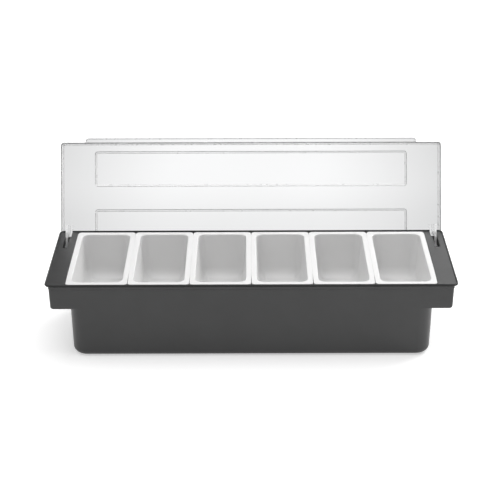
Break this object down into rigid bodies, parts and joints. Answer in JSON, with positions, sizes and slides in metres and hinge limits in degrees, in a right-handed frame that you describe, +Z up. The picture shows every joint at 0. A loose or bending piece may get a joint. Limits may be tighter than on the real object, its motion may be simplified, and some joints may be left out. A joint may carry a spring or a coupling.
{
  "type": "condiment caddy",
  "caption": "Long bar-top condiment tray with a grip under each end, lift-out pans hung in its rim, and a clear hinged lid that leans back when open.",
  "frame": {"origin": "middle of the tray's flat underside", "axes": "+Z up, +X along the tray to the right, -Y to the front, where the user stands"},
  "size_m": [0.5, 0.2202, 0.2102],
  "materials": {
    "tray_plastic": "satin charcoal moulded plastic",
    "lid_plastic": "clear polished moulded plastic",
    "pan_plastic": "smooth white moulded plastic",
    "pin_steel": "plain steel pin"
  },
  "bodies": {
    "tray": {"tray": "tray_plastic", "left_hinge_pin": "pin_steel", "right_hinge_pin": "pin_steel"},
    "lid": {"lid": "lid_plastic"},
    "pan_1": {"pan_1": "pan_plastic"},
    "pan_2": {"pan_2": "pan_plastic"},
    "pan_3": {"pan_3": "pan_plastic"},
    "pan_4": {"pan_4": "pan_plastic"},
    "pan_5": {"pan_5": "pan_plastic"},
    "pan_6": {"pan_6": "pan_plastic"}
  },
  "joints": [
    {"name": "lid_hinge", "type": "hinge", "parent": "tray", "child": "lid", "pos_m": [0, 0.05902, 0.0873], "axis": [-1, 0, 0], "range_deg": [-115, 0]},
    {"name": "pan_1_lift", "type": "slide", "parent": "tray", "child": "pan_1", "axis": [0, 0, 1], "range_m": [0, 0.08]},
    {"name": "pan_2_lift", "type": "slide", "parent": "tray", "child": "pan_2", "axis": [0, 0, 1], "range_m": [0, 0.08]},
    {"name": "pan_3_lift", "type": "slide", "parent": "tray", "child": "pan_3", "axis": [0, 0, 1], "range_m": [0, 0.08]},
    {"name": "pan_4_lift", "type": "slide", "parent": "tray", "child": "pan_4", "axis": [0, 0, 1], "range_m": [0, 0.08]},
    {"name": "pan_5_lift", "type": "slide", "parent": "tray", "child": "pan_5", "axis": [0, 0, 1], "range_m": [0, 0.08]},
    {"name": "pan_6_lift", "type": "slide", "parent": "tray", "child": "pan_6", "axis": [0, 0, 1], "range_m": [0, 0.08]}
  ]
}
